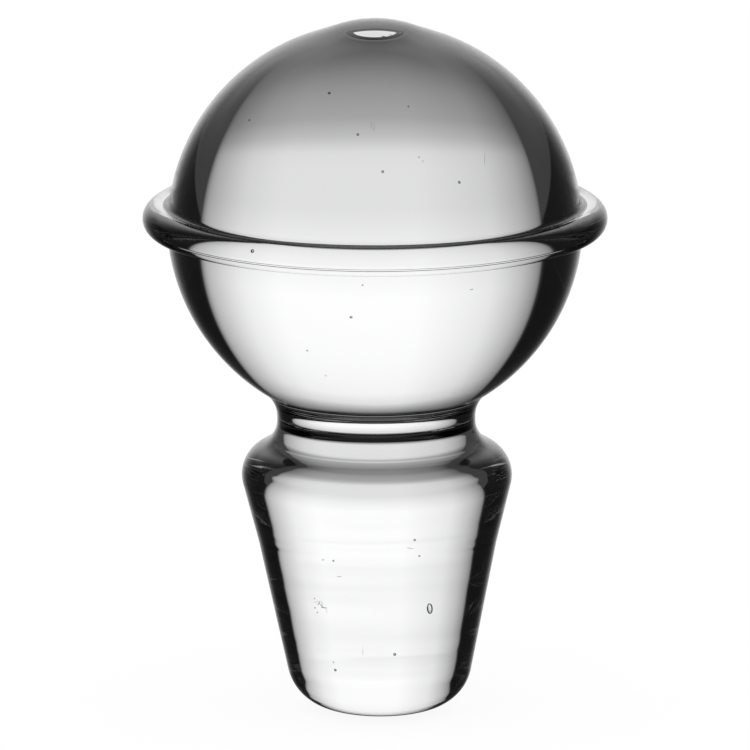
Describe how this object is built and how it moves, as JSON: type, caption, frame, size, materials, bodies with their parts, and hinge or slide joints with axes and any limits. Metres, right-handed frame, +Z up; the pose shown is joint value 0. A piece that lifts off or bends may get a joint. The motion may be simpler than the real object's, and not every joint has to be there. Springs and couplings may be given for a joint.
{
  "type": "glass stopper",
  "caption": "Solid clear glass stopper: a ball head with a half-round collar at its middle, a narrow neck, a rounded shoulder and a tapering plug.",
  "frame": {"origin": "centre of the flat bottom of the plug", "axes": "+Z up along the axis of the stopper, from the plug to the crown of the ball; -Y faces the viewer of the picture"},
  "size_m": [0.0498, 0.0498, 0.0754],
  "materials": {
    "clear_glass": "clear fire-polished glass, unground, with a few seeds and scratches"
  },
  "bodies": {
    "root": {"glass_stopper": "clear_glass"}
  },
  "joints": []
}
